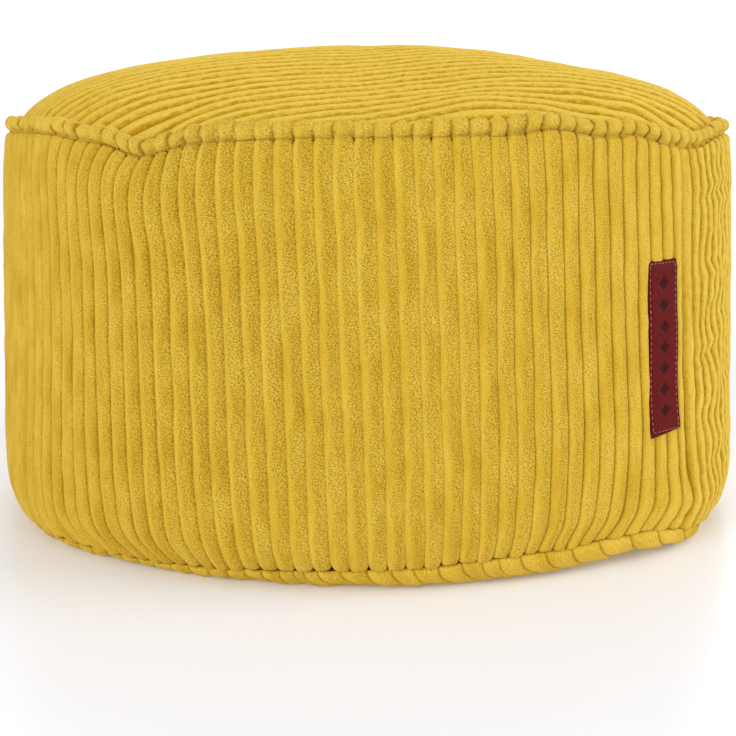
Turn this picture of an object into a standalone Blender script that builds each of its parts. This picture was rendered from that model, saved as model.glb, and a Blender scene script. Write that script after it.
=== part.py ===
"""A round bean bag footstool in wide-wale corduroy, about 450 mm across and 275 mm high.

It stands on Z = 0 with its axis on Z and its front towards -Y. The pieces are the band, which is
modelled with the filling that it holds, the crowned top panel, the bottom panel that it rests on,
and the label sewn to the band. Angles run round the axis, from 0 at the front towards +X.
"""

import math
from collections import namedtuple

import bmesh
import bpy

# Driving dimensions, in metres
HALF_WIDTH = 0.2254         # from the axis to the side of the band, at its fullest
HALF_DEPTH = 0.2163         # from the axis to its front and back
CROWN_HEIGHT = 0.2745       # top of the crown
RIM_HEIGHT = 0.2312         # middle of the rolled seam round the top
FOOT_SEAM_HEIGHT = 0.0105   # seam between the band and the bottom panel
CLOTH = 0.004               # corduroy, with its pile
GAP = 0.0003                # between two pieces
SPOKES = 80                 # points in each ring
SHARP_EDGE = 50             # degrees between faces, past which an edge isn't shaded smooth

# Near the floor the band rounds under, as a quarter of an ellipse
TUCK_DEPTH = 0.019
TUCK_HEIGHT = 0.030
FOOT_REACH = 0.090          # a foot bulge fades out over this height

# The rolled seam round the top: the band's own upper edge, folded and topstitched
STITCH_DROP = 0.0090        # stitches below the middle of the roll
ROLL_RADIUS = 0.0045
ROLL_INSET = 0.0040         # middle of the roll inside the stitches
ROLL_TURNS = (-60, -15, 30, 75, 110, 145)   # degrees round the roll, from outside over the top
PANEL_INSET = 0.0082        # edge of the top panel inside the stitches
PANEL_DROP = 0.0020         # edge of the top panel below the middle of the roll

# The crown is a broad dome with steep shoulders. Round the front it rises gently and straight.
SHOULDER_SHARE = 0.41       # part of the rise that falls at the shoulders
SHOULDER_POWER = 11.0
FRONT_EASE = 0.38           # how much less of it falls there at the front
FRONT_SPREAD = 42
FRONT_STRETCH = 0.95        # how far the dome's rise is a straight one at the front
FRONT_ROUNDING = 0.25       # share of the radius over which that still rounds off in the middle
RIM_FOLD_POWER = 8          # how soon a fold of the rim fades out over the top
BULGE_POWER, BULGE_END = 12, 60             # how a bulge of the shoulder comes and goes
CROWN_RINGS = (0.25, 0.48, 0.66, 0.79, 0.88, 0.945, 1.0)

# The label, sewn on upright beside the band's closing seam
LABEL_ANGLE = 45.3
LABEL_LOW = 0.0703
LABEL_HIGH = 0.1621
LABEL_WIDTH = 0.0252
LABEL_THICKNESS = 0.0016
LABEL_LEAN = 0.0010         # its lower end stands this much further round
LABEL_CLEARANCE = 0.0004    # from the band, which has flat facets
LABEL_COLUMNS, LABEL_ROWS = 4, 8

# The band from its foot seam (0) to the stitches (1): how far it draws in above its fullest part
BandRow = namedtuple("BandRow", "share draw_in_mm")
BAND_ROWS = (
    BandRow(0.000, 0.0),
    BandRow(0.020, 0.0),
    BandRow(0.045, 0.0),
    BandRow(0.075, 0.0),
    BandRow(0.110, 0.0),
    BandRow(0.180, 0.0),
    BandRow(0.360, 1.3),
    BandRow(0.540, 2.6),
    BandRow(0.720, 3.9),
    BandRow(0.855, 5.2),
    BandRow(0.930, 6.2),
    BandRow(1.000, 7.6),
)

# Where the filling has settled unevenly and the cloth gives: soft bulges and dips round the axis
Fold = namedtuple("Fold", "angle spread rim_lift_mm rim_push_mm foot_push_mm")
FOLDS = (
    Fold(-54, 15, 0.0, 0.0, 6.5),
    Fold(-42, 6.5, -3.0, 0.5, 0.0),
    Fold(-32, 5.6, -8.8, 1.5, 0.0),     # front left corner
    Fold(-23, 7, -1.8, 0.0, 0.0),
    Fold(-5, 20, 0.0, 0.0, -2.0),       # flattened front
    Fold(14.5, 9, 0.8, 0.0, 0.0),
    Fold(26.6, 6.1, 3.6, 0.0, 0.0),
    Fold(32.7, 4.2, -1.5, 0.0, 0.0),
    Fold(39.9, 2.1, 1.5, 0.0, 0.0),
    Fold(52.8, 10, -7.7, 2.0, 0.0),     # front right corner, at the closing seam
    Fold(54, 19, 0.0, 0.0, 6.0),
    Fold(77, 13.6, -2.2, 0.0, 0.0),
    Fold(98, 20, -3.6, 0.0, 0.0),
    Fold(128, 10, -7.0, 1.5, 5.0),
    Fold(165, 16, 2.0, 0.0, -1.5),
    Fold(-162, 12, -5.0, 1.5, 3.0),
    Fold(-118, 11, -6.0, 1.5, 4.0),
    Fold(-92, 22, -4.2, 0.0, 0.0),
)
Bulge = namedtuple("Bulge", "angle spread lift_mm")
BULGES = (
    Bulge(-88, 25, 5.5),                # of the crown's shoulders
    Bulge(88, 20, 2.5),
)

# Hollows and swells of the crown, by place
Swell = namedtuple("Swell", "x y spread lift_mm")
SWELLS = (
    Swell(0.150, 0.000, 0.080, -3.2),
    Swell(0.060, 0.000, 0.045, 1.4),
    Swell(0.200, -0.020, 0.040, -2.5),
    Swell(-0.090, -0.160, 0.045, -2.5),
    Swell(0.105, -0.170, 0.030, -2.0),
    Swell(-0.080, 0.120, 0.080, -1.8),
)

# The bottom panel's section: its underside from the flat foot up the tuck to the foot seam, by
# height, and its upper side from the seam back in, by inset from the seam and height
UNDERSIDE_HEIGHTS = (0.0, 0.0012, 0.0035, 0.0066, 0.0100)
SectionPoint = namedtuple("SectionPoint", "inset height")
UPPER_SIDE = (
    SectionPoint(0.0045, 0.0105),
    SectionPoint(0.0062, 0.0083),
    SectionPoint(0.0098, 0.0060),
    SectionPoint(0.0165, CLOTH),
)


def soft(distance, spread):
    """A smooth hump, 1 in the middle and fading out past its spread."""
    return math.exp(-(distance / spread) ** 2)


def fold(angle, column, rows=FOLDS):
    """The sum, in metres, of one column of a table of folds at an angle."""
    total = 0.0
    for row in rows:
        away = (angle - row.angle + 180) % 360 - 180
        total += getattr(row, column) * soft(away, row.spread)
    return total / 1000


def between(rows, share):
    """The draw-in, in metres, read off the band's table."""
    for low, high in zip(rows, rows[1:]):
        if share <= high.share:
            part = (share - low.share) / (high.share - low.share)
            return (low.draw_in_mm + part * (high.draw_in_mm - low.draw_in_mm)) / 1000
    return rows[-1].draw_in_mm / 1000


def stitch_height(angle):
    return RIM_HEIGHT + fold(angle, "rim_lift_mm") - STITCH_DROP


def tuck(height):
    """How far the band has rounded under at a height."""
    below = max(0.0, 1 - height / TUCK_HEIGHT)
    return TUCK_DEPTH * (1 - math.sqrt(1 - below ** 2))


def outline_radius(angle, height):
    """Radius of the footstool's plan, with its foot bulges, before it draws in."""
    across = math.sin(math.radians(angle)) / HALF_WIDTH
    along = math.cos(math.radians(angle)) / HALF_DEPTH
    push = fold(angle, "foot_push_mm") * soft(height, FOOT_REACH)
    return 1 / math.hypot(across, along) + push - tuck(height)


def band_radius(angle, share):
    """Radius of the band's face at a share of the way from the foot seam to the stitches."""
    push = fold(angle, "rim_push_mm") * share ** 2
    return outline_radius(angle, band_height(angle, share)) - between(BAND_ROWS, share) + push


def band_height(angle, share):
    return FOOT_SEAM_HEIGHT + share * (stitch_height(angle) - FOOT_SEAM_HEIGHT)


def panel_edge(angle):
    """Radius and height of the top panel's edge, behind the rolled seam."""
    return (band_radius(angle, 1.0) - PANEL_INSET,
            RIM_HEIGHT + fold(angle, "rim_lift_mm") - PANEL_DROP)


def crown(angle, ring):
    """Radius and height of the top panel's face, on rings from 0 in the middle to 1 at its edge."""
    edge_height = RIM_HEIGHT - PANEL_DROP
    radius = ring * panel_edge(angle)[0]
    from_front = (angle + 180) % 360 - 180
    front = soft(from_front, FRONT_SPREAD)
    share = SHOULDER_SHARE - FRONT_EASE * front
    straight = math.hypot(ring, FRONT_ROUNDING) - FRONT_ROUNDING
    straight /= math.hypot(1, FRONT_ROUNDING) - FRONT_ROUNDING
    dome = ring ** 2 + FRONT_STRETCH * front * (straight - ring ** 2)
    fall = (1 - share) * dome + share * ring ** SHOULDER_POWER
    height = edge_height + (CROWN_HEIGHT - edge_height) * (1 - fall)
    height += fold(angle, "rim_lift_mm") * ring ** RIM_FOLD_POWER
    height += fold(angle, "lift_mm", BULGES) * ring ** BULGE_POWER * (1 - ring ** BULGE_END)
    x = radius * math.sin(math.radians(angle))
    y = -radius * math.cos(math.radians(angle))
    for swell in SWELLS:
        lift = swell.lift_mm / 1000 * soft(math.hypot(x - swell.x, y - swell.y), swell.spread)
        height += lift * (1 - ring ** 4)
    return radius, height


def roll(angle, turn):
    """A point on the rolled seam, turned round the roll's middle from its outer side."""
    middle = band_radius(angle, 1.0) - ROLL_INSET
    height = stitch_height(angle) + STITCH_DROP
    return (middle + ROLL_RADIUS * math.cos(math.radians(turn)),
            height + ROLL_RADIUS * math.sin(math.radians(turn)))


def foot(angle, point, clearance=0.0):
    """A point of the bottom panel's upper side, measured in from the foot seam."""
    return band_radius(angle, 0.0) - point.inset, point.height + clearance


def finish(name, color, roughness):
    material = bpy.data.materials.new(name)
    material.use_nodes = True
    shader = material.node_tree.nodes["Principled BSDF"]
    shader.inputs["Base Color"].default_value = (*color, 1.0)
    shader.inputs["Roughness"].default_value = roughness
    shader.inputs["Metallic"].default_value = 0.0
    return material


def add_object(name, bm, material):
    bmesh.ops.recalc_face_normals(bm, faces=bm.faces)
    mesh = bpy.data.meshes.new(name)
    bm.to_mesh(mesh)
    bm.free()
    mesh.materials.append(material)
    mesh.shade_smooth()
    mesh.set_sharp_from_angle(angle=math.radians(SHARP_EDGE))
    bpy.context.collection.objects.link(bpy.data.objects.new(name, mesh))


def place_ring(verts, ring):
    """Move each point of a ring out along its own angle to the ring's radius and height."""
    for vert in verts:
        angle = math.degrees(math.atan2(vert.co.x, -vert.co.y))
        radius, height = ring(angle)
        vert.co.x = radius * math.sin(math.radians(angle))
        vert.co.y = -radius * math.cos(math.radians(angle))
        vert.co.z = height


def body_of_rings(name, rings, first_pole, last_pole, material):
    """A closed body grown ring by ring from one cap to the other.

    A pole is the height of a cap's middle point, or None for a flat cap.
    """
    bm = bmesh.new()
    bmesh.ops.create_circle(bm, cap_ends=True, segments=SPOKES, radius=1.0)
    caps = [(bm.faces[:], first_pole)]
    place_ring(bm.verts, rings[0])
    edges = bm.edges[:]
    for ring in rings[1:]:
        grown = bmesh.ops.extrude_edge_only(bm, edges=edges)["geom"]
        place_ring([item for item in grown if isinstance(item, bmesh.types.BMVert)], ring)
        edges = [item for item in grown if isinstance(item, bmesh.types.BMEdge)]
    caps.append((bmesh.ops.contextual_create(bm, geom=edges)["faces"], last_pole))
    for faces, pole in caps:
        if pole is not None:
            middle = bmesh.ops.poke(bm, faces=faces)["verts"][0]
            middle.co = (0.0, 0.0, pole)
    add_object(name, bm, material)


def build_bottom_panel(material):
    """The panel that the footstool rests on, flat where it lies and turned up to the foot seam."""
    rings = [lambda angle, h=height: (outline_radius(angle, h), h) for height in UNDERSIDE_HEIGHTS]
    rings += [lambda angle, p=point: foot(angle, p) for point in UPPER_SIDE]
    body_of_rings("bottom_panel", rings, None, None, material)


def build_side_band(material):
    """The band with the filling it holds, from the bottom panel to the crown under the top one."""
    rings = [lambda angle, p=point: foot(angle, p, 2 * GAP) for point in reversed(UPPER_SIDE)]
    rings += [lambda angle, s=row.share: (band_radius(angle, s), band_height(angle, s))
              for row in BAND_ROWS]
    rings += [lambda angle, t=turn: roll(angle, t) for turn in ROLL_TURNS]

    def wall_foot(angle):
        radius, height = panel_edge(angle)
        return radius + GAP, height - CLOTH - 4 * GAP

    def under_panel(angle, ring):
        radius, height = crown(angle, ring)
        return radius, height - CLOTH - GAP * (1 + ring ** 4)

    rings.append(wall_foot)
    rings += [lambda angle, r=ring: under_panel(angle, r) for ring in reversed(CROWN_RINGS[:-1])]
    body_of_rings("side_band", rings, None, under_panel(0.0, 0.0)[1], material)


def build_top_panel(material):
    """The crowned top panel, a sheet whose edge lies behind the rolled seam."""
    rings = [lambda angle, r=ring: crown(angle, r) for ring in CROWN_RINGS]

    def underside(angle, ring):
        radius, height = crown(angle, ring)
        return radius, height - CLOTH

    rings += [lambda angle, r=ring: underside(angle, r) for ring in reversed(CROWN_RINGS)]
    top, under = crown(0.0, 0.0)[1], underside(0.0, 0.0)[1]
    body_of_rings("top_panel", rings, top, under, material)


def build_label(material):
    """The label: an upright strip that follows the band's face."""
    bm = bmesh.new()
    bmesh.ops.create_grid(bm, x_segments=LABEL_COLUMNS, y_segments=LABEL_ROWS, size=0.5)
    degrees_wide = math.degrees(LABEL_WIDTH / HALF_WIDTH)
    degrees_lean = math.degrees(LABEL_LEAN / HALF_WIDTH)
    for vert in bm.verts:
        across, up = vert.co.x, vert.co.y
        angle = LABEL_ANGLE + across * degrees_wide - up * degrees_lean
        height = (LABEL_LOW + LABEL_HIGH) / 2 + up * (LABEL_HIGH - LABEL_LOW)
        share = (height - FOOT_SEAM_HEIGHT) / (stitch_height(angle) - FOOT_SEAM_HEIGHT)
        radius = band_radius(angle, share) + LABEL_CLEARANCE + LABEL_THICKNESS
        vert.co.x = radius * math.sin(math.radians(angle))
        vert.co.y = -radius * math.cos(math.radians(angle))
        vert.co.z = height
    bm.normal_update()
    bmesh.ops.solidify(bm, geom=bm.faces[:], thickness=LABEL_THICKNESS)
    add_object("label", bm, material)


def main():
    for item in list(bpy.data.objects):
        bpy.data.objects.remove(item)
    corduroy = finish("corduroy", (0.62, 0.39, 0.035), 0.95)
    leatherette = finish("leatherette", (0.13, 0.015, 0.013), 0.5)
    build_bottom_panel(corduroy)
    build_side_band(corduroy)
    build_top_panel(corduroy)
    build_label(leatherette)


main()
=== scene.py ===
"""The looks of a round bean bag footstool in wide-wale corduroy.

The footstool stands on Z = 0 with its axis on Z and its front towards -Y. Every cut of corduroy
starts as a flat grid with one side along the wales. It is then moved into the shape in which it is
sewn, its wales are lifted, and its UV map "cloth" keeps the flat cut's own measure, in wales.
Angles run round the axis in degrees, from 0 at the front towards +X.
"""

import math
from collections import namedtuple
from functools import partial

import bmesh
import bpy
import numpy as np
from mathutils import Matrix, Vector


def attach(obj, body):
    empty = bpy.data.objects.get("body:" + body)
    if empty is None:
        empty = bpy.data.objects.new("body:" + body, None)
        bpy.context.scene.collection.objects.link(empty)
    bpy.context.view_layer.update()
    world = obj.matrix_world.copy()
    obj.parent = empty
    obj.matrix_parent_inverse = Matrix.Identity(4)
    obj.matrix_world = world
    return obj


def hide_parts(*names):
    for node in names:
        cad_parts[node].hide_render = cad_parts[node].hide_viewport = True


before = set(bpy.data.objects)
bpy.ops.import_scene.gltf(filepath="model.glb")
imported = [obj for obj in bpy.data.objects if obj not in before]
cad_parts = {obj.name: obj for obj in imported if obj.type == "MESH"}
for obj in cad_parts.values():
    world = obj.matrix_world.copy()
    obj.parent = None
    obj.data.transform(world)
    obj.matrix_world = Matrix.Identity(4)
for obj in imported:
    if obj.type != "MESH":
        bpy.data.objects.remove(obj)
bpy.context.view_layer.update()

MM = 0.001

# ---------------------------------------------------------------- the sewn shape, as in the frame
HALF_WIDTH = 0.2254         # from the axis to the side of the band, at its fullest
HALF_DEPTH = 0.2163         # from the axis to its front and back
CROWN_HEIGHT = 0.2745       # top of the crown
RIM_HEIGHT = 0.2312         # middle of the rolled seam round the top
FOOT_SEAM_HEIGHT = 0.0105   # seam between the band and the bottom panel
TUCK_DEPTH, TUCK_HEIGHT = 0.019, 0.030      # how the band rounds under, near the floor
EDGE_REACH = 0.040          # how far in the foot's edge leaves the floor where it lifts
FOOT_REACH = 0.090          # a foot bulge fades out over this height
HEM_DROP = 0.0090           # top of the band's plain face, below the middle of the roll
DRAW_IN_FROM = 0.17         # share of the way up from which the band's face draws in
DRAW_IN, HEM_DRAW_IN = 0.0060, 0.0016       # how far up to the hem, and how much more close to it
PANEL_INSET, PANEL_DROP = 0.0082, 0.0020    # edge of the top panel, inside and below the roll
SHOULDER_SHARE, SHOULDER_POWER = 0.41, 11.0         # part of the crown's rise at its shoulders
RIM_FOLD_POWER = 8          # how soon a fold of the rim fades out over the top
BULGE_POWER, BULGE_END = 12, 60             # a bulge lies on the shoulder, just inside the seam
FRONT_EASE, FRONT_SPREAD = 0.38, 42         # the shoulder is gentler by this share at the front
DOME_POWER, FRONT_STRETCH = 2.0, 0.95       # the dome, and how much straighter it rises there
FRONT_ROUNDING = 0.25       # share of the radius over which it still rounds off in the middle

# Where the filling has settled unevenly and the cloth gives
Fold = namedtuple("Fold", "angle spread rim_lift_mm rim_push_mm foot_push_mm")
FOLDS = (
    Fold(-54, 15, 0.0, 0.0, 6.5),
    Fold(-42, 6.5, -3.0, 0.5, 0.0),
    Fold(-32, 5.6, -8.8, 1.5, 0.0),     # front left corner
    Fold(-23, 7, -1.8, 0.0, 0.0),
    Fold(-5, 20, 0.0, 0.0, -2.0),       # flattened front
    Fold(14.5, 9, 0.8, 0.0, 0.0),
    Fold(26.6, 6.1, 3.6, 0.0, 0.0),
    Fold(32.7, 4.2, -1.5, 0.0, 0.0),
    Fold(39.9, 2.1, 1.5, 0.0, 0.0),
    Fold(52.8, 10, -7.7, 2.0, 0.0),     # front right corner, at the closing seam
    Fold(54, 19, 0.0, 0.0, 6.0),
    Fold(77, 13.6, -2.2, 0.0, 0.0),
    Fold(98, 20, -3.6, 0.0, 0.0),
    Fold(128, 10, -7.0, 1.5, 5.0),
    Fold(165, 16, 2.0, 0.0, -1.5),
    Fold(-162, 12, -5.0, 1.5, 3.0),
    Fold(-118, 11, -6.0, 1.5, 4.0),
    Fold(-92, 22, -4.2, 0.0, 0.0),
)

# How the seam round the foot rises and sinks, and where the foot's edge is off the floor
# and splays outwards
Foot = namedtuple("Foot", "angle spread seam_lift_mm edge_lift_mm splay_mm")
FEET = (
    Foot(-65, 18, -4.5, 0.3, 0.0),
    Foot(-35, 20, -6.0, 0.5, 0.0),
    Foot(28, 20, 5.1, 0.9, 0.0),
    Foot(42, 9, -3.0, 6.2, 10.5),
    Foot(53, 6, -1.0, 0.6, 8.0),
    Foot(58, 9, -3.2, 0.0, 0.0),
    Foot(150, 25, -3.0, 0.0, 0.0),
    Foot(-140, 30, 2.0, 0.6, 0.0),
)

# Where the crown's shoulder bulges
Bulge = namedtuple("Bulge", "angle spread lift_mm")
BULGES = (
    Bulge(-88, 25, 5.5),
    Bulge(88, 20, 2.5),
)

# Low swells and hollows of the crown
Swell = namedtuple("Swell", "x y spread lift_mm")
SWELLS = (
    Swell(0.150, 0.000, 0.080, -3.2),
    Swell(0.060, 0.000, 0.045, 1.4),
    Swell(0.200, -0.020, 0.040, -2.5),
    Swell(-0.090, -0.160, 0.045, -2.5),
    Swell(0.105, -0.170, 0.030, -2.0),
    Swell(-0.080, 0.120, 0.080, -1.8),
    Swell(0.122, -0.152, 0.018, -9.0),      # puckers behind the front right corner
    Swell(0.145, -0.128, 0.014, 7.0),
    Swell(0.055, -0.180, 0.026, 11.0),
)

# ---------------------------------------------------------------- the corduroy
WALES = 140                 # round the band
PITCH = 0.0101              # from one wale to the next
PILE = 0.0027               # how far a wale's back stands above its grooves
FLAT_ANGLE, FLAT_SPREAD = 0, 23             # where the cloth is stretched, its grooves shallow
FULL_ANGLE, FULL_SPREAD = 72, 17            # where the band's wales stand out furthest
ACROSS = 10                 # faces across a wale
CLOSING_ANGLE = 50.8        # the band's closing seam
CLOSING_GROOVE, CLOSING_SPREAD = 0.0018, 0.9        # how deep and wide it draws the cloth in
CLOTH_THICKNESS = 0.003     # under the top panel's pile

# The wale in the middle of the front, round which the pile was brushed
FRONT_WALE = WALES * (1 - CLOSING_ANGLE / 360)

# How the band's wales lean and are dragged aside, by angle and share of the way up from the foot.
# A shift above 0 goes further round.
LEAN = 7.0 * MM             # a wale's lower end lies this much further round than its top
Drag = namedtuple("Drag", "angle spread share reach shift_mm")
DRAGS = (
    Drag(-40, 26, 0.45, 9.0, -4.5),
    Drag(-42, 18, 0.00, 0.05, 13.0),
    Drag(-40, 22, 0.04, 0.14, 4.0),
    Drag(38, 16, 0.00, 0.05, -10.0),
    Drag(36, 20, 0.04, 0.14, -4.0),
    Drag(54, 8, 0.085, 0.060, 8.0),
    Drag(-35, 24, 0.90, 0.12, -4.5),
    Drag(-37, 11, 1.04, 0.075, 13.5),   # hooked into the front left corner
    Drag(40, 9, 1.04, 0.10, 3.0),
    Drag(60, 9, 1.04, 0.10, -3.5),
    Drag(140, 30, 0.00, 0.10, 7.0),
    Drag(-130, 30, 0.00, 0.10, -7.0),
    Drag(128, 12, 1.04, 0.10, 8.0),
    Drag(-150, 12, 1.04, 0.10, -8.0),
)

CRINKLE_ANGLE, CRINKLE_SPREAD = 64, 13      # where the wales beside the closing seam are crinkled

# Dents and bulges that the closing seam and the filling leave in the band
Pucker = namedtuple("Pucker", "angle spread height tall_mm lift_mm")
PUCKERS = (
    Pucker(58.0, 4.5, 0.160, 7.0, -1.8),
    Pucker(60.0, 4.0, 0.129, 5.5, -1.6),
    Pucker(58.0, 4.0, 0.1065, 6.0, -1.8),
    Pucker(57.0, 4.5, 0.070, 6.5, -1.9),
    Pucker(60.0, 5.0, 0.041, 5.0, -2.0),
    Pucker(66.0, 4.0, 0.180, 6.0, -1.2),
    Pucker(68.0, 4.0, 0.147, 6.0, -1.1),
    Pucker(66.0, 4.0, 0.092, 7.0, -1.3),
    Pucker(69.0, 4.5, 0.056, 6.0, -1.2),
    Pucker(62.0, 5.0, 0.145, 8.0, 1.0),
    Pucker(62.0, 5.0, 0.088, 8.0, 1.0),
    Pucker(62.0, 5.0, 0.055, 6.0, 1.0),
)

# The rolled seam: the band's own upper edge, folded over, which the wales turn into knobs
SEWN_DROP = 0.0040          # its stitches, below the middle of the roll
ROLL_RADIUS = 0.0044
ROLL_INSET = 0.0045         # middle of the roll, inside the hem
ROLL_FROM, ROLL_TO = -72, 185               # degrees round the roll, from outside over the top
FLAT_ROLL_FROM = 20         # at the stretched front it starts this much further round
SCALLOP = 0.0013            # there the line of its stitches dips at each wale
HOLE_DEPTH = 0.0032         # the stitches pull in the ends of the grooves, some twice as deep

# Where the roll's knobs are pulled into one even roll, and where they are smaller, by a share
Knobs = namedtuple("Knobs", "angle spread share")
MERGED_KNOBS = (Knobs(-29, 4, 1.0), Knobs(-7, 17, 0.92))
SMALL_KNOBS = (Knobs(72, 18, 0.27), Knobs(-66, 20, 0.14))

# The two round panels, with straight wales
TOP_TURN, TOP_WALES = 17.0, 43              # degrees from the X axis, and how many
BOTTOM_TURN, BOTTOM_WALES = 80.0, 41
BOTTOM_DRAG, BOTTOM_DRAG_ANGLE = 5.6, 20    # how far its edge was dragged round, most at an angle
TOP_COLUMNS, BOTTOM_COLUMNS = 150, 120      # of faces along a wale

# The band closes over the filling inside, where nothing shows
FOOT_LIP = 0.006            # its lower edge goes on inwards this far
TOP_LIP, TOP_LIP_DROP = 0.014, 0.009        # and its upper edge so far inwards and down
TOP_SUNK = 0.010            # its closed top, below the middle of the roll

# The label, sewn on upright beside the closing seam
LABEL_ANGLE = 45.3
LABEL_LOW, LABEL_HIGH = 0.0703, 0.1621
LABEL_WIDTH = 0.0252
LABEL_LEAN = 0.0010         # its lower end stands this much further round
LABEL_THICKNESS = 0.0014
LABEL_BED = 0.0023          # how deep the wales are pressed flat behind it
LABEL_SINK = -0.0011        # its back, below the tops of the wales
LABEL_TOP_SINK = 0.0009     # its upper edge sinks in further, under the ends of the wales
LABEL_BOW = 0.0007          # its middle bows out towards the front
LABEL_WAVE, LABEL_WAVE_LENGTH = 0.0004, 0.060
LABEL_SLANT = 0.0024        # its lower edge is cut a little askew
PRESSED_DEPTH = 0.00035     # of the lozenges, and of the furrow along the stitches
SEAM_INSET = 0.0016         # its stitches, inside its edges
STITCH_PITCH, STITCH_LENGTH, STITCH_WIDTH = 0.0033, 0.0023, 0.0005
LOZENGES, LOZENGE_PITCH = 7, 0.0112         # pressed into it, one above another
LOZENGE_WIDTH, LOZENGE_HEIGHT = 0.0085, 0.0072

# Colours, as sRGB
CLOTH_DARK, CLOTH_COLOUR, CLOTH_LIGHT = "B78E14", "D8AF32", "EBC74E"
TUFT_GAP_SHADE = "96700A"       # painted shade down between the tufts
PINHOLE_SHADE = "2A1604"   # painted shade where the seam's stitches hold a groove open
PILE_SHEEN = "FFE27A"
LABEL_DARK, LABEL_LIGHT, LABEL_PRESSED = "560C08", "69130D", "2C0907"
THREAD_DARK, THREAD_LIGHT = "8C403E", "C9827B"
FLOOR_WHITE = "F0F3FC"


# ---------------------------------------------------------------- numbers
def soft(distance, spread):
    """A smooth hump, 1 in the middle and fading out past its spread."""
    return np.exp(-(distance / spread) ** 2)


def round_off(distance, reach, depth):
    """How far an end has rounded down, as a quarter of an ellipse, at a distance from it."""
    left = np.clip(1 - distance / reach, 0, 1)
    return depth * (1 - np.sqrt(1 - left ** 2))


def eased(part):
    part = np.clip(part, 0, 1)
    return part * part * (3 - 2 * part)


def away(angle, middle):
    """Degrees round from a middle to an angle, from -180 to 180."""
    return (angle - middle + 180) % 360 - 180


def crowded(part, amount):
    """Moves shares of a length towards its two ends."""
    return part - amount * np.sin(2 * np.pi * part) / (2 * np.pi)


def uneven(across, along, seed):
    """Smooth random values from -1 to 1, by place, that change over a distance of 1."""
    size = 64
    knots = np.random.default_rng(seed).uniform(-1, 1, (size, size))
    i, j = np.floor(across).astype(int), np.floor(along).astype(int)
    s, t = eased(across - i), eased(along - j)
    near = knots[i % size, j % size] * (1 - s) + knots[(i + 1) % size, j % size] * s
    far = knots[i % size, (j + 1) % size] * (1 - s) + knots[(i + 1) % size, (j + 1) % size] * s
    return near * (1 - t) + far * t


def ring_point(angle, radius, height):
    turn = np.radians(angle)
    return np.stack([radius * np.sin(turn), -radius * np.cos(turn), height + 0 * turn], axis=1)


# ---------------------------------------------------------------- the sewn shape
def fold(angle, column, rows=FOLDS):
    """The sum, in metres, of one column of a table of folds at an angle."""
    total = 0.0
    for row in rows:
        total = total + getattr(row, column) * soft(away(angle, row.angle), row.spread)
    return total * MM


def rim_height(angle):
    return RIM_HEIGHT + fold(angle, "rim_lift_mm")


def edge_lift(angle):
    return fold(angle, "edge_lift_mm", FEET)


def foot_height(angle):
    """Height of the seam between the band and the bottom panel."""
    return FOOT_SEAM_HEIGHT + fold(angle, "seam_lift_mm", FEET) + edge_lift(angle)


def tuck_depth(angle):
    return TUCK_DEPTH - fold(angle, "splay_mm", FEET)


def outline_radius(angle, height):
    """Radius of the footstool's plan, with its foot bulges, before it draws in."""
    across = np.sin(np.radians(angle)) / HALF_WIDTH
    along = np.cos(np.radians(angle)) / HALF_DEPTH
    push = fold(angle, "foot_push_mm") * soft(height, FOOT_REACH)
    tuck = round_off(height - edge_lift(angle), TUCK_HEIGHT, tuck_depth(angle))
    return 1 / np.hypot(across, along) + push - tuck


def face_radius(angle, height):
    """Radius of the band's face, which draws in slowly and then quickly towards the hem."""
    share = (height - FOOT_SEAM_HEIGHT) / (rim_height(angle) - HEM_DROP - FOOT_SEAM_HEIGHT)
    rise = np.clip((share - DRAW_IN_FROM) / (1 - DRAW_IN_FROM), 0, None)
    draw_in = DRAW_IN * rise ** 1.05 + HEM_DRAW_IN * rise ** 9
    return outline_radius(angle, height) - draw_in + fold(angle, "rim_push_mm") * share ** 2


def hem_radius(angle):
    return face_radius(angle, rim_height(angle) - HEM_DROP)


def crown_point(angle, ring):
    """Radius and height of the top panel, on rings from 0 in the middle to 1 at its edge."""
    radius = ring * (hem_radius(angle) - PANEL_INSET)
    front = soft(away(angle, 0), FRONT_SPREAD)
    rounded = math.hypot(1, FRONT_ROUNDING) - FRONT_ROUNDING
    straight = (np.hypot(ring, FRONT_ROUNDING) - FRONT_ROUNDING) / rounded
    dome = ring ** DOME_POWER + FRONT_STRETCH * front * (straight - ring ** DOME_POWER)
    share = SHOULDER_SHARE - FRONT_EASE * front
    fall = (1 - share) * dome + share * ring ** SHOULDER_POWER

    edge_height = RIM_HEIGHT - PANEL_DROP
    height = edge_height + (CROWN_HEIGHT - edge_height) * (1 - fall)
    height = height + fold(angle, "rim_lift_mm") * ring ** RIM_FOLD_POWER
    bulge = ring ** BULGE_POWER * (1 - ring ** BULGE_END)
    height = height + fold(angle, "lift_mm", BULGES) * bulge
    x, y = radius * np.sin(np.radians(angle)), -radius * np.cos(np.radians(angle))
    for swell in SWELLS:
        lift = swell.lift_mm * MM * soft(np.hypot(x - swell.x, y - swell.y), swell.spread)
        height = height + lift * (1 - ring ** 4)
    return radius, height


def bottom_point(angle, ring):
    """Radius and height of the bottom panel: flat where it rests, then up the tuck to its seam."""
    foot_radius = outline_radius(angle, edge_lift(angle))
    edge_radius = outline_radius(angle, foot_height(angle))
    radius = ring * edge_radius
    out = np.clip((radius - foot_radius) / tuck_depth(angle), 0, 1)
    off_floor = np.clip((radius - foot_radius + EDGE_REACH) / EDGE_REACH, 0, 1)
    return radius, TUCK_HEIGHT * (1 - np.sqrt(1 - out ** 2)) + edge_lift(angle) * off_floor ** 1.5


# ---------------------------------------------------------------- meshes
def read(collection, name, width=3):
    numbers = np.empty(len(collection) * width, np.float32)
    collection.foreach_get(name, numbers)
    return numbers.reshape(-1, width).astype(float)


def move(mesh, points):
    mesh.vertices.foreach_set("co", points.astype(np.float32).ravel())
    mesh.update()


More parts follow.
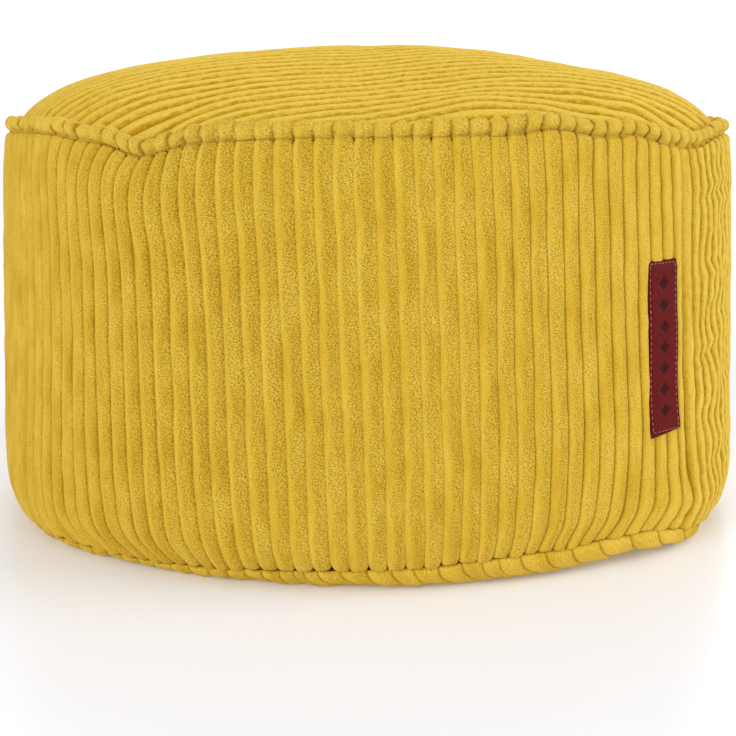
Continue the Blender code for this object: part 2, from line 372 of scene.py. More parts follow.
def flat_cut(name, columns, rows):
    """A flat grid of cloth, with each point's column and row."""
    bm = bmesh.new()
    bmesh.ops.create_grid(bm, x_segments=columns, y_segments=rows, size=0.5)
    mesh = bpy.data.meshes.new(name)
    bm.to_mesh(mesh)
    bm.free()
    flat = read(mesh.vertices, "co") + 0.5
    return mesh, np.rint(flat[:, 0] * columns), np.rint(flat[:, 1] * rows)


def measure(mesh, across, along):
    """Lays the UV map "cloth" over a cut, in wales across and in as long steps along them."""
    corners = np.empty(len(mesh.loops), np.int32)
    mesh.loops.foreach_get("vertex_index", corners)
    pairs = np.stack([across[corners], along[corners]], axis=1)
    mesh.uv_layers.new(name="cloth").uv.foreach_set("vector", pairs.astype(np.float32).ravel())


def mark(mesh, name, values):
    """Gives each point a value from 0 to 1, by which the material changes from place to place."""
    mesh.attributes.new(name, "FLOAT", "POINT").data.foreach_set("value", values.astype(np.float32))


def raise_pile(mesh, lift):
    """Moves each point along the cloth's own normal."""
    move(mesh, read(mesh.vertices, "co") + read(mesh.vertices, "normal") * lift[:, None])


def by_wale(number):
    """How many wales across a line of the grid lies. The lines crowd near the grooves."""
    return number // ACROSS + crowded(number % ACROSS / ACROSS, 0.5)


def from_crest(across):
    """Place across a wale: 0 on its crest, and -1 and 1 in the grooves beside it."""
    return 2 * (across % 1) - 1


def wale_back(across):
    """How far the pile stands up across a wale: 0 in its grooves, 1 on its back."""
    return (1 - np.abs(from_crest(across)) ** 2.4) ** 0.6


def close_ends(mesh, row):
    """Brings the first and the last row of a round cut each to one point."""
    points = read(mesh.vertices, "co")
    for end in (row == 0, row == row.max()):
        points[end] = points[end].mean(axis=0)
    move(mesh, points)


def extend(bm, edges, place):
    """Grows a ring of edges by one ring of faces, and puts each new point at a place."""
    grown = bmesh.ops.extrude_edge_only(bm, edges=edges)["geom"]
    for vert in (item for item in grown if isinstance(item, bmesh.types.BMVert)):
        angle = math.degrees(math.atan2(vert.co.x, -vert.co.y))
        vert.co = ring_point(np.array([angle]), *place(np.array([angle])))[0]
    return [item for item in grown if isinstance(item, bmesh.types.BMEdge)]


def cap(bm, edges, height):
    """Closes a ring of edges with a fan of faces to a point on the axis."""
    made = bmesh.ops.contextual_create(bm, geom=edges)["faces"]
    middle = bmesh.ops.poke(bm, faces=made)["verts"][0]
    middle.co = (0.0, 0.0, height)


def open_rings(bm, count):
    """The open edges of a mesh, as one ring, or as two with the lower one first."""
    edges = [edge for edge in bm.edges if edge.is_boundary]
    if count == 1:
        return [edges]
    middle = sum(edge.verts[0].co.z for edge in edges) / len(edges)
    low = [edge for edge in edges if edge.verts[0].co.z < middle]
    return [low, [edge for edge in edges if edge.verts[0].co.z >= middle]]


def close_inside(mesh, merge_mm, *ends):
    """Merges a cut's doubled points and closes its open rings, lowest first, where it can't be seen.

    Each end is a list of places for further rings, and the height of the point they close in.
    """
    bm = bmesh.new()
    bm.from_mesh(mesh)
    bmesh.ops.remove_doubles(bm, verts=bm.verts, dist=merge_mm * MM)
    for edges, (places, height) in zip(open_rings(bm, len(ends)), ends):
        for place in places:
            edges = extend(bm, edges, place)
        cap(bm, edges, height)
    bm.to_mesh(mesh)
    bm.free()


def add_piece(mesh, material, node):
    mesh.materials.append(material)
    mesh.shade_smooth()
    piece = bpy.data.objects.new(mesh.name, mesh)
    bpy.context.collection.objects.link(piece)
    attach(piece, "root")
    if node:
        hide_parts(node)
    return piece


# ---------------------------------------------------------------- the band
FACE_ROWS, ROLL_ROWS = 54, 12       # of faces, up the band's face and round its roll


def face_shares():
    """Shares of the way up the band's face for its rows, closest where the shape turns quickly."""
    span = RIM_HEIGHT - SEWN_DROP - FOOT_SEAM_HEIGHT
    fine = np.linspace(0, 1, 2001)
    density = 1 + 6.0 * soft(fine, 0.05) + 6.0 * soft(1 - fine, 0.035)
    for edge in (LABEL_LOW, LABEL_HIGH):
        density += 3.0 * soft(fine - (edge - FOOT_SEAM_HEIGHT) / span, 0.012)
    reached = np.concatenate([[0], np.cumsum(density)[:-1]])
    return np.interp(np.linspace(0, reached[-1], FACE_ROWS + 1), reached, fine)


def label_cover(angle, height):
    """1 under the label and 0 away from it."""
    up = (height - (LABEL_LOW + LABEL_HIGH) / 2) / (LABEL_HIGH - LABEL_LOW)
    aside = np.radians(away(angle, LABEL_ANGLE)) * HALF_WIDTH + up * LABEL_LEAN
    beside = (LABEL_WIDTH / 2 - np.abs(aside)) / MM
    above = (0.5 - np.abs(up)) * (LABEL_HIGH - LABEL_LOW) / MM
    return eased(0.3 + beside / 1.6) * eased(0.1 + above / 2.0)


def dragged(angle, share):
    """How far aside, in degrees, a wale lies from its place at mid height."""
    shift = LEAN * (0.5 - share)
    for row in DRAGS:
        near = soft(away(angle, row.angle), row.spread) * soft(share - row.share, row.reach)
        shift = shift + row.shift_mm * MM * near
    return np.degrees(shift / HALF_WIDTH)


def stretched(angle):
    """1 at the middle of the front, where the cloth is stretched, and 0 at the sides and back."""
    return soft(away(angle, FLAT_ANGLE), FLAT_SPREAD)


def crinkles(across, share):
    """Coarse and fine crinkles of the wales beside the closing seam, from -1 to 1."""
    near = soft(away(CLOSING_ANGLE + across * 360 / WALES, CRINKLE_ANGLE), CRINKLE_SPREAD)
    coarse = near * uneven(across * 0.30, share * 29, 21) * (1 - soft(1 - share, 0.05))
    return coarse, near * uneven(across * 0.55, share * 52, 22)


def band_angle(across, share):
    """The angle at which each point of the band lies: its wales wander and are dragged aside."""
    coarse, fine = crinkles(across, share)
    wander = 0.05 * uneven(across, share * 9, 3) + 0.05 * uneven(across * 0.37, share * 4, 4)
    wander += 0.15 * coarse + 0.10 * fine
    from_seam = np.minimum(across, WALES - across)
    place = CLOSING_ANGLE + (across + wander * eased(from_seam)) * 360 / WALES
    return place + dragged(place, share)


def scallop(across, angle):
    """How far the line of stitches under the roll rises at the wales' grooves."""
    return SCALLOP * stretched(angle) * (from_crest(across) ** 2 - 0.5)


def face_rise(angle):
    """Height of the band's face, from the seam round the foot to the stitches under the roll."""
    return rim_height(angle) - SEWN_DROP - foot_height(angle)


def face_height(across, angle, share):
    """Height of the points of the band's face, with both its seams a little uneven."""
    height = foot_height(angle) + share * face_rise(angle)
    height += scallop(across, angle) * soft(1 - share, 0.012)
    return height + 0.9 * MM * uneven(across * 1.1, 0 * across, 15) * soft(share, 0.03)


def roll_point(across, angle, turn_part, turn):
    """Radius and height of the rolled seam, whose knobs differ in size and bob up and down."""
    knob = 1 + 0.17 * uneven(np.floor(across) * 1.37, 0 * across, 5)
    for small in SMALL_KNOBS:
        knob *= 1 - small.share * soft(away(angle, small.angle), small.spread)
    bob = 0.8 * MM * uneven(np.floor(across) * 1.71, 0 * across, 16)
    bob += scallop(across, angle) * soft(turn_part, 0.3)
    radius = hem_radius(angle) - ROLL_INSET + ROLL_RADIUS * knob * np.cos(turn)
    return radius, rim_height(angle) + bob + ROLL_RADIUS * knob * np.sin(turn)


def roll_relief(across, angle, turn_part):
    """How far the roll stands out: a knob at each wale, but merged where it is stretched flat."""
    side = from_crest(across)
    merged = np.zeros_like(side)
    for pull in MERGED_KNOBS:
        merged = np.maximum(merged, pull.share * soft(away(angle, pull.angle), pull.spread))
    ball = (1 - merged) * (np.sqrt(1 - (0.98 * side) ** 2) - 1) - 0.40 * merged * side ** 2
    lift = 0.85 * ROLL_RADIUS * ball
    lift += 0.55 * MM * uneven(across * 2, turn_part * 3, 8)
    return lift + 0.25 * MM * uneven(across * 5, turn_part * 8, 9)


def stitch_pull(across):
    """How hard the stitches pull at the end of each groove, from -1 to 1."""
    return uneven(np.rint(across) * 1.9, 0 * across, 18)


def face_relief(across, angle, share, height):
    """How far the band's face stands out: its wales, their ends, dents, seam and stitch holes."""
    flat = stretched(angle)
    from_top, from_foot = (1 - share) * face_rise(angle), share * face_rise(angle)
    back = wale_back(across)
    depth = PILE * (1 - 0.74 * flat + 0.75 * soft(away(angle, FULL_ANGLE), FULL_SPREAD))
    lift = depth * (back - 1) * (1 + 0.10 * uneven(across * 0.5, share * 8, 6))
    lift += 0.35 * MM * uneven(across * 0.9, share * 24, 7)
    coarse, fine = crinkles(across, share)
    lift += 0.6 * MM * coarse + 0.5 * MM * fine

    lift -= round_off(from_top, 4.5 * MM, 2.5 * MM * (1 - 0.9 * flat))
    lift -= round_off(from_foot, 3.5 * MM, 1.8 * MM)
    lift += 0.8 * MM * uneven(across * 1.3, 0 * across, 17) * soft(from_foot, 3 * MM)
    holes = HOLE_DEPTH * (1 + stitch_pull(across)) * (1 - back) ** 2
    lift -= holes * (soft(from_top, 2.2 * MM) + soft(from_foot, 3 * MM))
    for pucker in PUCKERS:
        near = soft(away(angle, pucker.angle), pucker.spread)
        lift += pucker.lift_mm * MM * near * soft(height - pucker.height, pucker.tall_mm * MM)
    lift -= CLOSING_GROOVE * soft(away(angle, CLOSING_ANGLE), CLOSING_SPREAD)
    cover = label_cover(angle, height)
    return lift * (1 - cover) - LABEL_BED * cover


def foot_lip(angle):
    """Where the band's lower edge goes on inside the footstool."""
    return face_radius(angle, foot_height(angle)) - FOOT_LIP, foot_height(angle)


def top_lip(angle):
    """Where its upper edge goes on inside, under the roll."""
    return hem_radius(angle) - TOP_LIP, rim_height(angle) - TOP_LIP_DROP


def mark_band(mesh, across, angle, share, on_roll, turn_part):
    """Marks the roll, painted lighter and with its tufts showing, the crests painted with highlights
    and their flanks with shade, and the stitch holes, painted dark as shade where a stitch holds a
    groove open.
    """
    # The roll, painted lighter, less so where it starts on the outside
    mark(mesh, "raised", on_roll * (1.0 - 0.6 * soft(turn_part, 0.12)))
    # Crests painted with highlights and their flanks with shade, mostly round 70 degrees
    mark(mesh, "crisp", ~on_roll * soft(away(angle, 70), 19))
    # Stitch holes at the ends of the grooves, painted near-black as shade
    groove = soft(1 - np.abs(from_crest(across)), 0.14)
    near_top = soft((1 - share) * face_rise(angle), 0.8 * MM)
    pulled = np.clip(4 * stitch_pull(across) - 1, 0, 1)
    mark(mesh, "pinhole", ~on_roll * pulled * groove * near_top)


def build_band(material):
    """The side band: one length of corduroy with upright wales, whose folded edge makes the roll."""
    mesh, column, row = flat_cut("corduroy_band", WALES * ACROSS, FACE_ROWS + ROLL_ROWS)
    across = by_wale(column)
    share = np.concatenate([face_shares(), np.ones(ROLL_ROWS)])[row.astype(int)]
    on_roll = row > FACE_ROWS
    turn_part = np.clip((row - FACE_ROWS - 1) / (ROLL_ROWS - 1), 0, 1)

    angle = band_angle(across, share)
    roll_from = ROLL_FROM + FLAT_ROLL_FROM * stretched(angle)
    turn = np.radians(roll_from + (ROLL_TO - roll_from) * turn_part)
    height = face_height(across, angle, share)
    roll_radius, roll_height = roll_point(across, angle, turn_part, turn)
    move(mesh, ring_point(angle, np.where(on_roll, roll_radius, face_radius(angle, height)),
                          np.where(on_roll, roll_height, height)))
    raise_pile(mesh, np.where(on_roll, roll_relief(across, angle, turn_part),
                              face_relief(across, angle, share, height)))
    points = read(mesh.vertices, "co")
    points[column == WALES * ACROSS] = points[column == 0]      # the closing seam
    move(mesh, points)
    measure(mesh, across, (height + on_roll * turn * ROLL_RADIUS) / PITCH)
    mark_band(mesh, across, angle, share, on_roll, turn_part)
    close_inside(mesh, 0.02, ([foot_lip], FOOT_SEAM_HEIGHT), ([top_lip], RIM_HEIGHT - TOP_SUNK))
    piece = add_piece(mesh, material, "side_band")
    return piece


# ---------------------------------------------------------------- the two round panels
def disc_places(column, columns, row, wales, turn, facing):
    """Ring, angle, wale and length along it, for the points of a round cut with straight wales.

    The wales are turned from the X axis by some degrees. A cut faces up (1) or down (-1).
    """
    wale = by_wale(row)
    aside = np.clip(2 * wale / wales - 1, -1, 1)
    along = (2 * crowded(column / columns, 0.75) - 1) * np.sqrt(1 - aside ** 2)
    wander = 0.16 * uneven(along * 3, wale * 0.15, 11) * (1 - along ** 2 - aside ** 2)
    aside = aside + wander * 2 / wales
    cos, sin = math.cos(math.radians(turn)), math.sin(math.radians(turn))
    x = along * cos - facing * aside * sin
    y = along * sin + facing * aside * cos
    ring = np.minimum(np.hypot(x, y), 1)
    return ring, np.degrees(np.arctan2(x, -y)), wale, along * wales / 2


def under_crown(ring, angle):
    """A place on the inner side of the top panel."""
    radius, height = crown_point(angle, ring)
    return radius, height - CLOTH_THICKNESS - PILE


def build_top(material):
    """The top panel, stretched over the filling."""
    mesh, column, row = flat_cut("corduroy_top_panel", TOP_COLUMNS, TOP_WALES * ACROSS)
    ring, angle, wale, along = disc_places(column, TOP_COLUMNS, row, TOP_WALES, TOP_TURN, 1)
    move(mesh, ring_point(angle, *crown_point(angle, ring)))
    to_left = -read(mesh.vertices, "co")[:, 0]      # the crests' painted highlights and flank shade fade towards the left
    mark(mesh, "crisp", 0.95 - 0.4 * eased((to_left - 0.09) / 0.10))
    from_edge = (1 - ring) * hem_radius(angle)
    lift = 1.45 * PILE * (wale_back(wale) - 1) * (1 - 0.5 * soft(from_edge, 4 * MM))
    lift += 0.4 * MM * uneven(wale * 0.8, along * 0.7, 12)
    lift -= round_off(from_edge, 4 * MM, 2.0 * MM)
    raise_pile(mesh, lift)
    close_ends(mesh, row)
    measure(mesh, wale, along)

    places = [partial(under_crown, ring_under) for ring_under in (0.97, 0.88, 0.7, 0.45)]
    close_inside(mesh, 0.05, (places, CROWN_HEIGHT - CLOTH_THICKNESS - PILE))
    piece = add_piece(mesh, material, "top_panel")
    return piece


def inside_foot(inset_mm, rise_mm, level, angle):
    """A place inside the bottom panel, in and up from where its outer side has a certain level."""
    return outline_radius(angle, level(angle)) - inset_mm * MM, level(angle) + rise_mm * MM


def build_bottom(material):
    """The bottom panel, which the footstool rests on."""
    mesh, column, row = flat_cut("corduroy_bottom_panel", BOTTOM_COLUMNS, BOTTOM_WALES * ACROSS)
    ring, angle, wale, along = disc_places(column, BOTTOM_COLUMNS, row, BOTTOM_WALES,
                                           BOTTOM_TURN, -1)
    dragged_edge = eased((ring - 0.88) / 0.12) * (1 + 0.35 * uneven(angle / 9, 0 * angle, 31))
    most_dragged = np.cos(np.radians(away(angle, BOTTOM_DRAG_ANGLE)))
    angle = angle - BOTTOM_DRAG * dragged_edge * most_dragged
    move(mesh, ring_point(angle, *bottom_point(angle, ring)))
    from_edge = (1 - ring) * HALF_DEPTH
    worn = 0.62 + 0.38 * uneven(wale * 0.6, along * 0.5, 32)
    lift = 0.62 * PILE * worn * (wale_back(wale) - 1) - round_off(from_edge, 3 * MM, 1.2 * MM)
    off_floor = eased((ring - 0.92) / 0.05)
    lift += 1.0 * MM * off_floor * uneven(wale * 1.1, along * 1.3, 14)
    lift += 0.35 * MM * off_floor * uneven(wale * 4.0, along * 4.0, 33)
    raise_pile(mesh, lift)
    close_ends(mesh, row)
    measure(mesh, wale, along)

    places = [partial(inside_foot, 3, 1, foot_height), partial(inside_foot, 6, 4, edge_lift)]
    close_inside(mesh, 0.05, (places, 4 * MM))
    piece = add_piece(mesh, material, "bottom_panel")
    return piece


# ---------------------------------------------------------------- the label
def lozenge(across, along):
    """1 within the pressed lozenges and 0 outside them, by place in metres from the middle."""
    from_first = along / LOZENGE_PITCH + (LOZENGES - 1) / 2
    nearest = np.clip(np.rint(from_first), 0, LOZENGES - 1)
    up = (from_first - nearest) * LOZENGE_PITCH
    inside = 1 - np.abs(across) / (LOZENGE_WIDTH / 2) - np.abs(up) / (LOZENGE_HEIGHT / 2)
    return eased(0.5 + inside * 3)


def sew_on(mesh):
    """Lays a mesh made flat, in metres from the label's middle, on the band where the label goes."""
    across, along, lift = read(mesh.vertices, "co").T
    height = (LABEL_LOW + LABEL_HIGH) / 2 + along
    lean = along / (LABEL_HIGH - LABEL_LOW) * LABEL_LEAN
    bow = LABEL_BOW * (1 - 4 * (along / (LABEL_HIGH - LABEL_LOW)) ** 2)
    angle = LABEL_ANGLE + np.degrees((across - lean - bow) / HALF_WIDTH)
    wave = LABEL_WAVE * np.sin(along / LABEL_WAVE_LENGTH * 2 * np.pi + 1)
    wave -= LABEL_TOP_SINK * soft(height - LABEL_HIGH, 3.0 * MM)
    move(mesh, ring_point(angle, face_radius(angle, height) + LABEL_SINK + wave + lift, height))


def build_label(material):
    """The label: one piece of leatherette, with a column of lozenges pressed into it."""
    columns, rows = 30, 110
    width, length = LABEL_WIDTH, LABEL_HIGH - LABEL_LOW
    mesh, column, row = flat_cut("leatherette_label", columns, rows)
    across = (crowded(column / columns, 0.6) - 0.5) * width
    along = (crowded(row / rows, 0.3) - 0.5) * length
    measure(mesh, across / MM, along / MM)
    from_side = np.minimum(width / 2 - np.abs(across), length / 2 - np.abs(along))
    pressed = soft(from_side - SEAM_INSET, 0.6 * MM) + lozenge(across, along)
    lift = LABEL_THICKNESS - round_off(from_side, 0.7 * MM, 0.4 * MM) - PRESSED_DEPTH * pressed
    slant = LABEL_SLANT * across / width * (along < 0) * (2 * along / length)
    move(mesh, np.stack([across, along - slant, lift], axis=1))
    bm = bmesh.new()
    bm.from_mesh(mesh)
    bm.normal_update()
    bmesh.ops.solidify(bm, geom=bm.faces[:], thickness=LABEL_THICKNESS)
    bmesh.ops.recalc_face_normals(bm, faces=bm.faces)
    bm.to_mesh(mesh)
    bm.free()
    sew_on(mesh)
    return add_piece(mesh, material, "label")


def build_stitches(material):
    """The label's stitches: short bars of thread, a little inside its edges."""
    half = Vector((LABEL_WIDTH / 2 - SEAM_INSET, (LABEL_HIGH - LABEL_LOW) / 2 - SEAM_INSET))
    corners = [Vector((x * half.x, y * half.y, 0)) for x, y in ((-1, -1), (1, -1), (1, 1), (-1, 1))]
    bm = bmesh.new()
    for start, end in zip(corners, corners[1:] + corners[:1]):
        side = end - start
        count = round(side.length / STITCH_PITCH)
        for number in range(count):
            middle = start + side * (number + 0.5) / count
            middle.z = LABEL_THICKNESS - 0.25 * MM
            turn = Matrix.Rotation(math.atan2(side.y, side.x) + 0.06, 4, "Z")
            size = Matrix.Diagonal((STITCH_LENGTH / 2, STITCH_WIDTH / 2, STITCH_WIDTH / 2, 1))
            bmesh.ops.create_uvsphere(bm, u_segments=8, v_segments=6, radius=1,
                                      matrix=Matrix.Translation(middle) @ turn @ size)
    mesh = bpy.data.meshes.new("label_stitches")
    bm.to_mesh(mesh)
    bm.free()
    sew_on(mesh)
    return add_piece(mesh, material, None)


# ---------------------------------------------------------------- materials
def linear(hex_colour):
    """An sRGB hex colour as the linear values that a shader takes."""
    channels = [int(hex_colour[i:i + 2], 16) / 255 for i in (0, 2, 4)]
    return [c / 12.92 if c <= 0.04045 else ((c + 0.055) / 1.055) ** 2.4 for c in channels] + [1.0]


# Kinds of node, and settings, that the patterns share
MATH, RANGE = "ShaderNodeMath", "ShaderNodeMapRange"
ADD, SUBTRACT = {"operation": "ADD"}, {"operation": "SUBTRACT"}
MULTIPLY, MULTIPLY_ADD = {"operation": "MULTIPLY"}, {"operation": "MULTIPLY_ADD"}
LARGER, SMALLER = {"operation": "MAXIMUM"}, {"operation": "MINIMUM"}
ABSOLUTE, FRACTION = {"operation": "ABSOLUTE"}, {"operation": "FRACT"}
NEAREST, BELOW = {"operation": "ROUND"}, {"operation": "LESS_THAN"}
SMOOTH = {"interpolation_type": "SMOOTHSTEP"}
ON_CLOTH = {"noise_dimensions": "2D"}


def add_node(tree, kind, settings, *values, **links):
    """Adds a node with its settings. Inputs are set or linked in order, by name or by place (i6)."""
    node = tree.nodes.new(kind)
    for name, value in settings.items():
        setattr(node, name, value)
    inputs = dict(enumerate(values))
    for name, value in links.items():
        inputs[int(name[1:]) if name[1:].isdigit() else name.replace("_", " ")] = value
    for key, value in inputs.items():
        source = value.outputs[0] if isinstance(value, bpy.types.Node) else value
        if isinstance(source, bpy.types.NodeSocket):
            tree.links.new(source, node.inputs[key])
        else:
            node.inputs[key].default_value = source
    return node


def new_material(name, **finish):
    """A material with the values that are the same all over it, set on its shader's sockets."""
    material = bpy.data.materials.new(name)
    material.use_nodes = True
    tree = material.node_tree
    shader = tree.nodes["Principled BSDF"]
    for socket, value in finish.items():
        shader.inputs[socket.replace("_", " ")].default_value = value
    return material, tree, shader


def laid_over(tree, colour, *layers):
    """A hex colour with others over it, one after another, each where its own amount is 1."""
    colour = linear(colour)
    for amount, other in layers:
        mixed = add_node(tree, "ShaderNodeMix", {"data_type": "RGBA"}, i0=amount, i6=colour,
                         i7=linear(other))
        colour = mixed.outputs[2]
    return colour


def corduroy():
    """Wide-wale cotton corduroy, its pile cut and brushed: matt, with a soft sheen at its edges.

    The pile leans over to one side of each wale. One side so lies smooth, and the other shows the
    tufts' ends, with shade painted dark into the gaps between them. Hands and folds leave lighter
    and
    darker patches. Light is painted in too: the roll lighter, the marked crests with highlights and
    their flanks with shade, and shade down in the grooves and in the stitch holes.
    """
    material, tree, shader = new_material("mustard_corduroy", Roughness=0.95, Sheen_Weight=0.35,
                                          Sheen_Roughness=0.45, Sheen_Tint=linear(PILE_SHEEN),
                                          Specular_IOR_Level=0.15)
    add = partial(add_node, tree)
    cloth = add("ShaderNodeUVMap", {"uv_map": "cloth"})

    def marks(wide_mm, long_mm, seed, detail=2.0, rough=0.5, slant=0.0):
        """Random marks of a size in millimetres, slanting by some degrees."""
        size = (wide_mm * MM / PITCH, long_mm * MM / PITCH, 1.0)
        place = add("ShaderNodeMapping", {"vector_type": "TEXTURE"}, cloth, (seed, 3 * seed, 0.0),
                    (0.0, 0.0, math.radians(slant)), size)
        return add("ShaderNodeTexNoise", ON_CLOTH, Vector=place, Scale=1.0, Detail=detail,
                   Roughness=rough)

    tufts = marks(1.1, 0.60, 1.3, rough=0.6, slant=22)          # tufts about 1 mm across
    fuzz = marks(0.7, 0.6, 5.1, detail=1.0)                     # their cut ends
    patches = marks(17.0, 24.0, 9.7)                            # where the pile was brushed
    streaks = marks(5.0, 34.0, 2.9)                             # long marks down the wales
    flecks = marks(2.0, 4.5, 7.7, detail=2.5, rough=0.6)        # clumps on the crests, breaking up their painted highlights
    raised, crisp, pinhole = (add("ShaderNodeAttribute", {"attribute_name": name}).outputs["Fac"]
                              for name in ("raised", "crisp", "pinhole"))

    # Place across a wale, from one groove to the next and out from its crest, and the number of
    # wales round from the front's
    across = add("ShaderNodeSeparateXYZ", {}, cloth)
    part = add(MATH, FRACTION, across)
    side = add(MATH, ABSOLUTE, add(MATH, MULTIPLY_ADD, part, 2.0, -1.0))
    from_front = add(MATH, ABSOLUTE, add(MATH, SUBTRACT, across, FRONT_WALE))

    # The rough side of each wale. Its edge wanders, and it is smoother away from the front
    edge = add(MATH, ADD, part, add(MATH, MULTIPLY_ADD, patches, 0.9, -0.45))
    leaning = add(MATH, MULTIPLY, add(RANGE, SMOOTH, edge, 0.16, 0.52),
                  add(RANGE, SMOOTH, from_front, 7.0, 19.0, 1.0, 0.38))
    brushed = add(MATH, LARGER, leaning, add(MATH, MULTIPLY, raised, 0.40))
    rough_side = add(MATH, LARGER, brushed, add(MATH, MULTIPLY, crisp, 0.18))
    # Gaps between the tufts: dented by the bump, and painted dark as shade
    gaps = add(MATH, MULTIPLY, add(RANGE, SMOOTH, tufts, 0.55, 0.67), rough_side)

    # How light the pile is: random patches and ends, painted highlights on the marked crests with
    # painted shade on their flanks, painted shade in the grooves, and the roll painted lighter
    worn = add(MATH, ADD, add(MATH, MULTIPLY_ADD, patches, 0.42, -0.21),
               add(MATH, MULTIPLY_ADD, streaks, 0.28, -0.14))
    worn = add(MATH, MULTIPLY, worn, add(MATH, MULTIPLY_ADD, crisp, -0.6, 1.0))
    # Painted highlight on each marked crest and painted shade on its flanks, broken up by streaks
    # and clumps
    crest = add(MATH, MULTIPLY, add(RANGE, SMOOTH, side, 0.10, 0.85, 0.38, -0.22),
                add(MATH, ADD, streaks, 0.5))
    crest = add(MATH, ADD, crest, add(MATH, MULTIPLY_ADD, flecks, 0.9, -0.45))
    ends = add(MATH, MULTIPLY, add(MATH, SUBTRACT, fuzz, 0.5),
               add(MATH, MULTIPLY_ADD, rough_side, 0.30, 0.55))
    # Painted shade down in the grooves, darker away from the front
    groove = add(MATH, MULTIPLY, add(RANGE, SMOOTH, side, 0.82, 1.0),
                 add(RANGE, SMOOTH, from_front, 6.0, 16.0, -0.04, -0.32))
    # The roll is painted lighter
    tone = add(MATH, MULTIPLY_ADD, raised, 0.17, 0.65)
    for change in (worn, add(MATH, MULTIPLY, crest, crisp), ends, groove,
                   add(MATH, MULTIPLY, rough_side, -0.05)):
        tone = add(MATH, ADD, tone, change)
    # Painted shade goes over the cloth's tones in the tufts' gaps and in the stitch holes
    colour = laid_over(tree, CLOTH_DARK, (add(RANGE, {}, tone, 0.34, 0.61), CLOTH_COLOUR),
                       (add(RANGE, {}, tone, 0.61, 0.88), CLOTH_LIGHT),
                       (add(MATH, MULTIPLY, gaps, 0.42), TUFT_GAP_SHADE), (pinhole, PINHOLE_SHADE))
    tree.links.new(colour, shader.inputs["Base Color"])

    pile = add(MATH, SUBTRACT, add(MATH, MULTIPLY, fuzz, 0.5), add(MATH, MULTIPLY, gaps, 0.6))
    bump = add("ShaderNodeBump", {}, Height=pile, Strength=1.0, Distance=0.8 * MM)
    tree.links.new(bump.outputs[0], shader.inputs["Normal"])
    return material


def leatherette():
    """Thin coated leatherette, dark red, with a fine pressed grain and a dull shine.

    Its cut edges are darker than its face, and so are the lozenges, which were pressed in hot.
    """
    material, tree, shader = new_material("red_leatherette", Roughness=0.55,
                                          Specular_IOR_Level=0.06)
    add = partial(add_node, tree)
    face = add("ShaderNodeUVMap", {"uv_map": "cloth"})          # in millimetres from the middle
    place = add("ShaderNodeSeparateXYZ", {}, face)
    aside = add(MATH, ABSOLUTE, place)
    up = add(MATH, ABSOLUTE, place.outputs["Y"])
    from_side = add(MATH, SMALLER, add(MATH, SUBTRACT, LABEL_WIDTH / 2 / MM, aside),
                    add(MATH, SUBTRACT, (LABEL_HIGH - LABEL_LOW) / 2 / MM, up))
    border = add(RANGE, SMOOTH, from_side, 0.5, 1.5, 0.35, 0.0)

    row = add(MATH, MULTIPLY, place.outputs["Y"], MM / LOZENGE_PITCH)
    from_row = add(MATH, ABSOLUTE, add(MATH, SUBTRACT, row, add(MATH, NEAREST, row)))
    reach = add(MATH, ADD, add(MATH, MULTIPLY, aside, 2 * MM / LOZENGE_WIDTH),
                add(MATH, MULTIPLY, from_row, 2 * LOZENGE_PITCH / LOZENGE_HEIGHT))
    in_row = add(MATH, BELOW, up, LOZENGES / 2 * LOZENGE_PITCH / MM)
    pressed = add(MATH, MULTIPLY, add(RANGE, SMOOTH, reach, 0.85, 1.05, 0.9, 0.0), in_row)

    wear = add("ShaderNodeTexNoise", ON_CLOTH, Vector=face, Scale=0.35, Detail=4.0, Roughness=0.6)
    colour = laid_over(tree, LABEL_DARK, (add(RANGE, {}, wear, 0.30, 0.70), LABEL_LIGHT),
                       (add(MATH, LARGER, border, pressed), LABEL_PRESSED))
    tree.links.new(colour, shader.inputs["Base Color"])

    grain = add("ShaderNodeTexVoronoi", {"voronoi_dimensions": "2D"}, Vector=face,
                Scale=1.6)                                      # pores about 0.6 mm apart
    bump = add("ShaderNodeBump", {}, Height=grain, Strength=0.5, Distance=0.12 * MM)
    tree.links.new(bump.outputs[0], shader.inputs["Normal"])
    return material


def thread():
    """Polyester sewing thread, pinkish, with a low shine."""
    material, tree, shader = new_material("pink_thread", Roughness=0.6)
    place = add_node(tree, "ShaderNodeTexCoord", {}).outputs["Object"]
    ply = add_node(tree, "ShaderNodeTexNoise", {}, Vector=place, Scale=900.0, Detail=2.0)
    lighter = add_node(tree, RANGE, {}, ply, 0.35, 0.65)        # marks about 1 mm long
    colour = laid_over(tree, THREAD_DARK, (lighter, THREAD_LIGHT))
    tree.links.new(colour, shader.inputs["Base Color"])
    return material


def floor_paint():
    """White acrylic sheet, satin, lit a little from below."""
    return new_material("white_studio_floor", Base_Color=linear(FLOOR_WHITE), Roughness=0.25,
                        Specular_IOR_Level=0.2, Emission_Color=(1, 1, 1, 1),
                        Emission_Strength=0.13)[0]


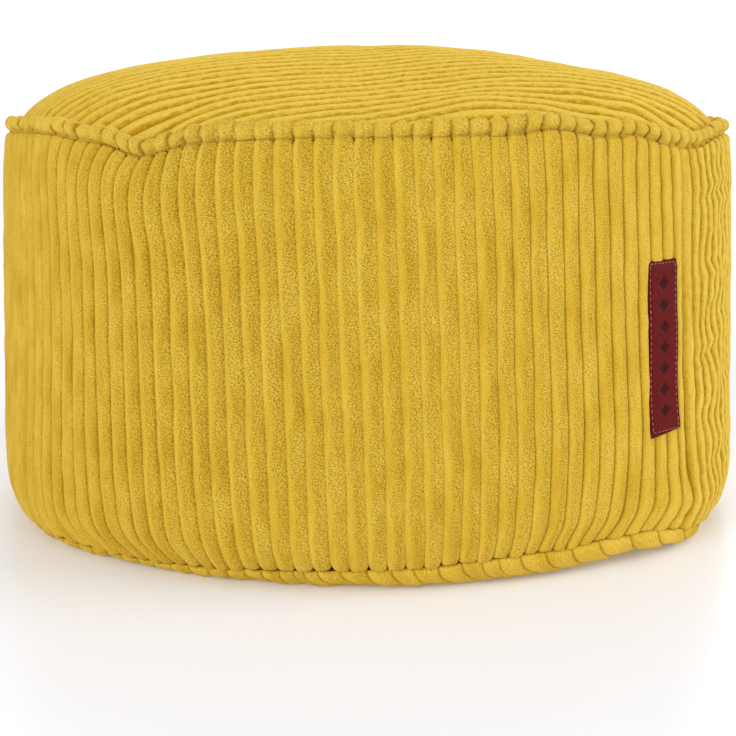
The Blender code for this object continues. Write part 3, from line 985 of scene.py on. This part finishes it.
# ---------------------------------------------------------------- studio
IMAGE_SIDE = 736            # pixels
FOCAL_PIXELS = 1406
SENSOR = 36.0               # millimetres
CAMERA_PLACE = (0.0004, -0.88, 0.2527)
CAMERA_TILT = 11.5          # degrees down
WORLD_LIGHT, WORLD_SEEN = 0.60, 1.1         # the white room, as it lights and as it is seen
SOFTNESS = 38               # degrees across, as a large softbox looks from the footstool
LIGHTS = (                  # name, place and strength
    ("left_light", (-1.25, -1.7, 0.9), 1.32),
    ("right_light", (1.9, -0.1, 0.8), 1.52),
    ("back_light", (0.1, 1.5, 1.1), 0.75),
)


def add_camera():
    data = bpy.data.cameras.new("camera")
    data.sensor_width = SENSOR
    data.lens = FOCAL_PIXELS / IMAGE_SIDE * SENSOR
    data.clip_start, data.clip_end = 0.01, 50
    camera = bpy.data.objects.new("camera", data)
    bpy.context.collection.objects.link(camera)
    camera.location = CAMERA_PLACE
    camera.rotation_euler = (math.radians(90 - CAMERA_TILT), 0, 0)
    bpy.context.scene.camera = camera


def add_soft_light(name, place, strength):
    """A large softbox, far enough off to light the whole floor evenly."""
    data = bpy.data.lights.new(name, "SUN")
    data.angle = math.radians(SOFTNESS)
    data.energy = strength
    light = bpy.data.objects.new(name, data)
    bpy.context.collection.objects.link(light)
    light.location = place
    light.rotation_euler = Vector(place).to_track_quat("Z", "Y").to_euler()


def add_studio():
    """A plain white floor and a white room, with three softboxes."""
    bm = bmesh.new()
    bmesh.ops.create_grid(bm, x_segments=1, y_segments=1, size=6.0)
    mesh = bpy.data.meshes.new("studio_floor")
    bm.to_mesh(mesh)
    bm.free()
    mesh.materials.append(floor_paint())
    floor = bpy.data.objects.new("studio_floor", mesh)
    bpy.context.collection.objects.link(floor)

    world = bpy.data.worlds.new("white_studio")
    world.use_nodes = True
    tree = world.node_tree
    tree.nodes["Background"].inputs["Color"].default_value = (1, 1, 1, 1)
    seen = add_node(tree, "ShaderNodeLightPath", {}).outputs["Is Camera Ray"]
    strength = add_node(tree, RANGE, {}, seen, To_Min=WORLD_LIGHT, To_Max=WORLD_SEEN)
    tree.links.new(strength.outputs[0], tree.nodes["Background"].inputs["Strength"])
    bpy.context.scene.world = world
    for name, place, strength in LIGHTS:
        add_soft_light(name, place, strength)
    bpy.context.scene.view_settings.view_transform = "Standard"


# ---------------------------------------------------------------- the footstool
add_camera()
add_studio()
cloth_finish = corduroy()
build_band(cloth_finish)
build_top(cloth_finish)
build_bottom(cloth_finish)
build_label(leatherette())
build_stitches(thread())
